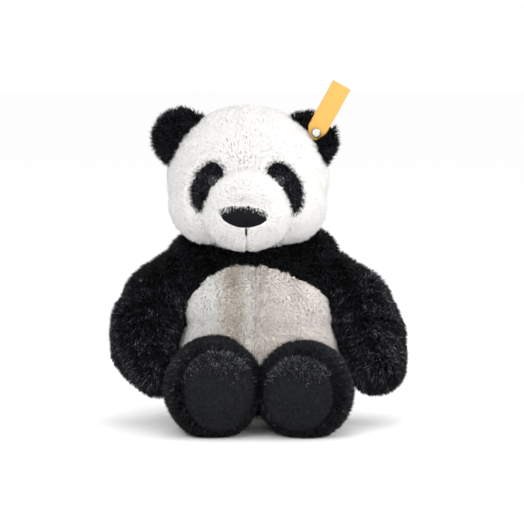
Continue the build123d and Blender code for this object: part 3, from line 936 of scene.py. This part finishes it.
pile("nose_fringe", head_form, 1.3, 5.6, 0.3, WHITE, "head", above_nose, (0, -0.9, -1.3), tuft=0.5,
     stray=0.35)


def away_from(centre, pull, droop):
    """Outwards from a place, and down by droop."""
    return lambda places: pull * unit(places - np.array(centre)) + np.array((0, 0, droop))


def painted_glint_patches(x, y, z):
    """Patches of the arms and legs where some strands are paler: painted highlight on the fur."""
    drifting = drift(np.stack([x, y, z], axis=1), 9.0, 21)[:, 0]
    return (z < ARM_PAINTED_GLINT_TOP) & (drifting + 0.35 * rng.normal(size=len(x)) > 0.05)


for side in PATCHES:
    def off_eye(x, y, z):
        return ~inside(x, z, EYES[side], (EYE_RADIUS, EYE_RADIUS), 0, 0.92) & (y < 0)

    # The glint coat on each eye patch is painted highlight: paler strands standing in for light on the black
    # fur.
    for coat_name, tones, density in (("black", BLACK, 2.8), ("glint", PAINTED_GLINT, 1.1)):
        pile(f"eye_patch_{side}_{coat_name}", patches[side].data, density, 4.4, 0.22, tones, "head", off_eye)

for side, sign in (("left", 1), ("right", -1)):
    ear_x, ear_y, ear_z = ear_centre_of(sign)
    sole_middle, sole_half = SOLE_HEIGHT[sign]
    arm_body, leg_body = f"arm_{side}", f"leg_{side}"
    foot_middle = (sign * 31, -62, 37)
    from_foot = away_from(foot_middle, 0.75, -0.12)

    def ear_trim(x, y, z):
        """Hardly any pile under the ribbon, which only the left ear has."""
        if sign < 0:
            return np.ones(len(x))
        along = (x - RIVET.x) * tag_up.x + (z - RIVET.z) * tag_up.z
        across = (x - RIVET.x) * tag_across.x + (z - RIVET.z) * tag_across.z
        under = (np.abs(across) < 9.5) & (along > -9) & (y < ear_y)
        return np.where(under, 0.25, 1.0)

    def leg_painted_glint_patches(x, y, z):
        return (y < LEG_PILE_BACK) & (y > LEG_PAINTED_GLINT_FRONT) & painted_glint_patches(x, y, z)

    def leg_keep(x, y, z):
        """The leg but for the sole and the end in the torso."""
        across = (x - sign * SOLE_SIDE) / (SOLE_HALF_WIDTH - SOLE_RIM)
        up = (z - sole_middle) / (sole_half - SOLE_RIM)
        return ~((across ** 2 + up ** 2 < 1) & (y < SOLE_BACK)) & (y < LEG_PILE_BACK)

    def on_face(x, y, z):
        return y < SOLE_FRONT

    def on_top(x, y, z):
        """The upper part of the sole, with a ragged lower edge, where the paler strands are painted
        highlight.
        """
        edge = ((z - sole_middle) / sole_half + 0.10 * np.sin((x - sign * SOLE_SIDE) / 6)
                + 0.12 * rng.normal(size=len(z)))
        return (y < SOLE_FRONT) & (edge > 0.48)

    pile(f"ear_{side}_pile", ear_forms[side], 2.4, 7.4, 0.32, BLACK, "head", off_skull,
         away_from((ear_x - sign * 10, ear_y, ear_z - 12), 0.6, 0.0), tuft=0.8, stray=0.3, trim=ear_trim)
    pile(f"arm_{side}_pile", arm_forms[side], 1.6, 7.6, 0.36, BLACK, arm_body, tuft=0.45)
    # The arm and leg glint piles are paler strands standing in for light on the black fur: painted highlight.
    pile(f"arm_{side}_glint", arm_forms[side], 1.05, 8.0, 0.26, PAINTED_GLINT, arm_body, painted_glint_patches, tuft=0.45,
         stray=0.3)
    pile(f"leg_{side}_glint", leg_forms[side], 0.30, 7.2, 0.26, PAINTED_GLINT, leg_body, leg_painted_glint_patches, from_foot,
         tuft=0.45, stray=0.3)
    pile(f"leg_{side}_pile", leg_forms[side], 1.9, 7.2, 0.34, BLACK, leg_body, leg_keep, from_foot, tuft=0.7,
         stray=0.28)
    pile(f"sole_{side}_pile", sole_forms[side], 1.7, 1.3, 0.26, SOLE, leg_body, on_face, (0, 0, -1.2),
         tuft=0.15)
    pile(f"sole_{side}_top_pile", sole_forms[side], 1.8, 3.4, 0.22, SOLE_TOP_PAINTED_GLINT, leg_body, on_top, (0, 0, 0.25),
         tuft=0.4)


def torso_clear(x, y, z):
    """Where the pile of the torso can be seen: not under the head or the seat."""
    return ~near_neck(x, y, z, TORSO_NECK_REACH) & (z > SEAT_PILE_Z)


def torso_black(x, y, z):
    back = y >= TORSO_Y
    return torso_clear(x, y, z) & np.where(back, z > BACK_YOKE_Z, ~in_belly(x, y, z) & (z > SEAT_Z))


def torso_white(x, y, z):
    return torso_clear(x, y, z) & (y >= TORSO_Y) & (z <= BACK_YOKE_Z)


def parted(places):
    """Down, and away from the seam at the middle of the belly."""
    side = places[:, 0] - BELLY_MIDDLE
    aside = 0.35 * np.sign(side) * np.exp(-np.abs(side) / 9)
    return np.stack([aside, np.full(len(side), -0.1), np.full(len(side), -0.6)], axis=1)


def band(x, low, high, soft):
    """1 between low and high and 0 outside, with soft edges."""
    return 1 / (1 + np.exp(-(x - low) / soft)) / (1 + np.exp((x - high) / soft))


def belly_mix(x, z):
    """How much of each tone the belly has: white at one side, a brown band at the seam, pink at the other."""
    taupe = 0.95 * band(x, -28, -11, 3) + 0.55 * band(x, -1, 5 + 0.25 * np.clip(95 - z, 0, 60), 2.5)
    pink = 0.8 * band(x, 6, 90, 5) * (1 - 0.7 * taupe)
    white = band(x, -90, -28, 4) + 0.8 * band(x, -11, -4, 1.2)
    rest = np.clip(1 - taupe - pink - white, 0.08, 1)
    total = taupe + pink + white + rest
    return {"taupe": taupe / total, "pink": pink / total, "white": white / total, "cream": rest / total}


pile("torso_black_pile", torso_form, 1.1, 7.0, 0.36, BLACK, "torso", torso_black)
pile("torso_white_pile", torso_form, 1.1, 5.5, 0.32, WHITE, "torso", torso_white)
for tone, tones in (("taupe", TAUPE), ("pink", PINK), ("white", WHITE), ("cream", CREAM)):
    def belly_keep(x, y, z):
        chosen = rng.random(len(x)) < belly_mix(x, z)[tone]
        return torso_clear(x, y, z) & in_belly(x, y, z) & (z > SEAT_Z) & chosen

    pile(f"belly_{tone}_pile", torso_form, 2.6, 4.8, 0.28, tones, "torso", belly_keep, parted, tuft=0.4)
pile("tail_pile", tail_form, 1.6, 6.0, 0.32, WHITE, "torso")
pile("neck_pile", neck_form, 0.9, 6.0, 0.36, BLACK, "neck",
     lambda x, y, z: (z > NECK_PILE_Z) & off_skull(x, y, z))

# ------------------------------------------------------------------ finish of the solids that stay

for start, finish in (("eye_washer", washer_plastic), ("rivet", rivet_metal)):
    for name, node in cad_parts.items():
        if name.startswith(start):
            for material_slot in node.material_slots:
                material_slot.material = finish

# ------------------------------------------------------------------ studio

FLOOR_HALF = 30.0
floor_paint = principled("studio_floor", (0.985, 0.985, 0.985), 1.0, Specular_IOR_Level=0.0)
floor_mesh = bpy.data.meshes.new("studio_floor")
corners = [(x * FLOOR_HALF, y * FLOOR_HALF, 0) for x, y in ((-1, -1), (1, -1), (1, 1), (-1, 1))]
floor_mesh.from_pydata(corners, [], [(0, 1, 2, 3)])
link("studio_floor", floor_mesh, floor_paint)

world = bpy.data.worlds.new("studio")
world.use_nodes = True
world.node_tree.nodes["Background"].inputs["Color"].default_value = (1.0, 1.0, 1.0, 1)
world.node_tree.nodes["Background"].inputs["Strength"].default_value = 1.0
bpy.context.scene.world = world


def lamp(name, place, aim, size, power):
    """A round soft light, in metres and watts."""
    light = bpy.data.lights.new(name, "AREA")
    light.shape = "DISK"
    light.size = size
    light.energy = power
    item = bpy.data.objects.new(name, light)
    item.location = place
    item.rotation_euler = (Vector(aim) - Vector(place)).to_track_quat("-Z", "Y").to_euler()
    bpy.context.scene.collection.objects.link(item)


lamp("key_light", (-0.6, -1.5, 1.2), (0, 0, 0.15), 0.8, 7.5)
lamp("fill_light", (0.9, -1.6, 0.7), (0, 0, 0.15), 0.8, 6.5)
lamp("side_light", (1.4, -0.2, 0.9), (0, 0, 0.12), 0.6, 5)
lamp("low_light", (0.1, -1.7, 0.25), (0, 0, 0.08), 0.5, 5.5)
lamp("top_light", (0.1, 0.3, 1.6), (0, 0, 0.1), 0.9, 3)

CAMERA_DISTANCE = 2.0
CAMERA_RISE = math.radians(4.5)
AIM = Vector((2.45, 20.0, 130.0)) * MM
FRAME_WIDTH = 0.4286  # what the camera takes in at AIM, in metres
SENSOR = 36.0
camera_data = bpy.data.cameras.new("camera")
camera_data.sensor_width = SENSOR
camera_data.lens = SENSOR * CAMERA_DISTANCE / FRAME_WIDTH
camera = bpy.data.objects.new("camera", camera_data)
camera.location = AIM + CAMERA_DISTANCE * Vector((0, -math.cos(CAMERA_RISE), math.sin(CAMERA_RISE)))
camera.rotation_euler = (AIM - camera.location).to_track_quat("-Z", "Y").to_euler()
bpy.context.scene.collection.objects.link(camera)
bpy.context.scene.camera = camera
bpy.context.scene.view_settings.view_transform = "Standard"
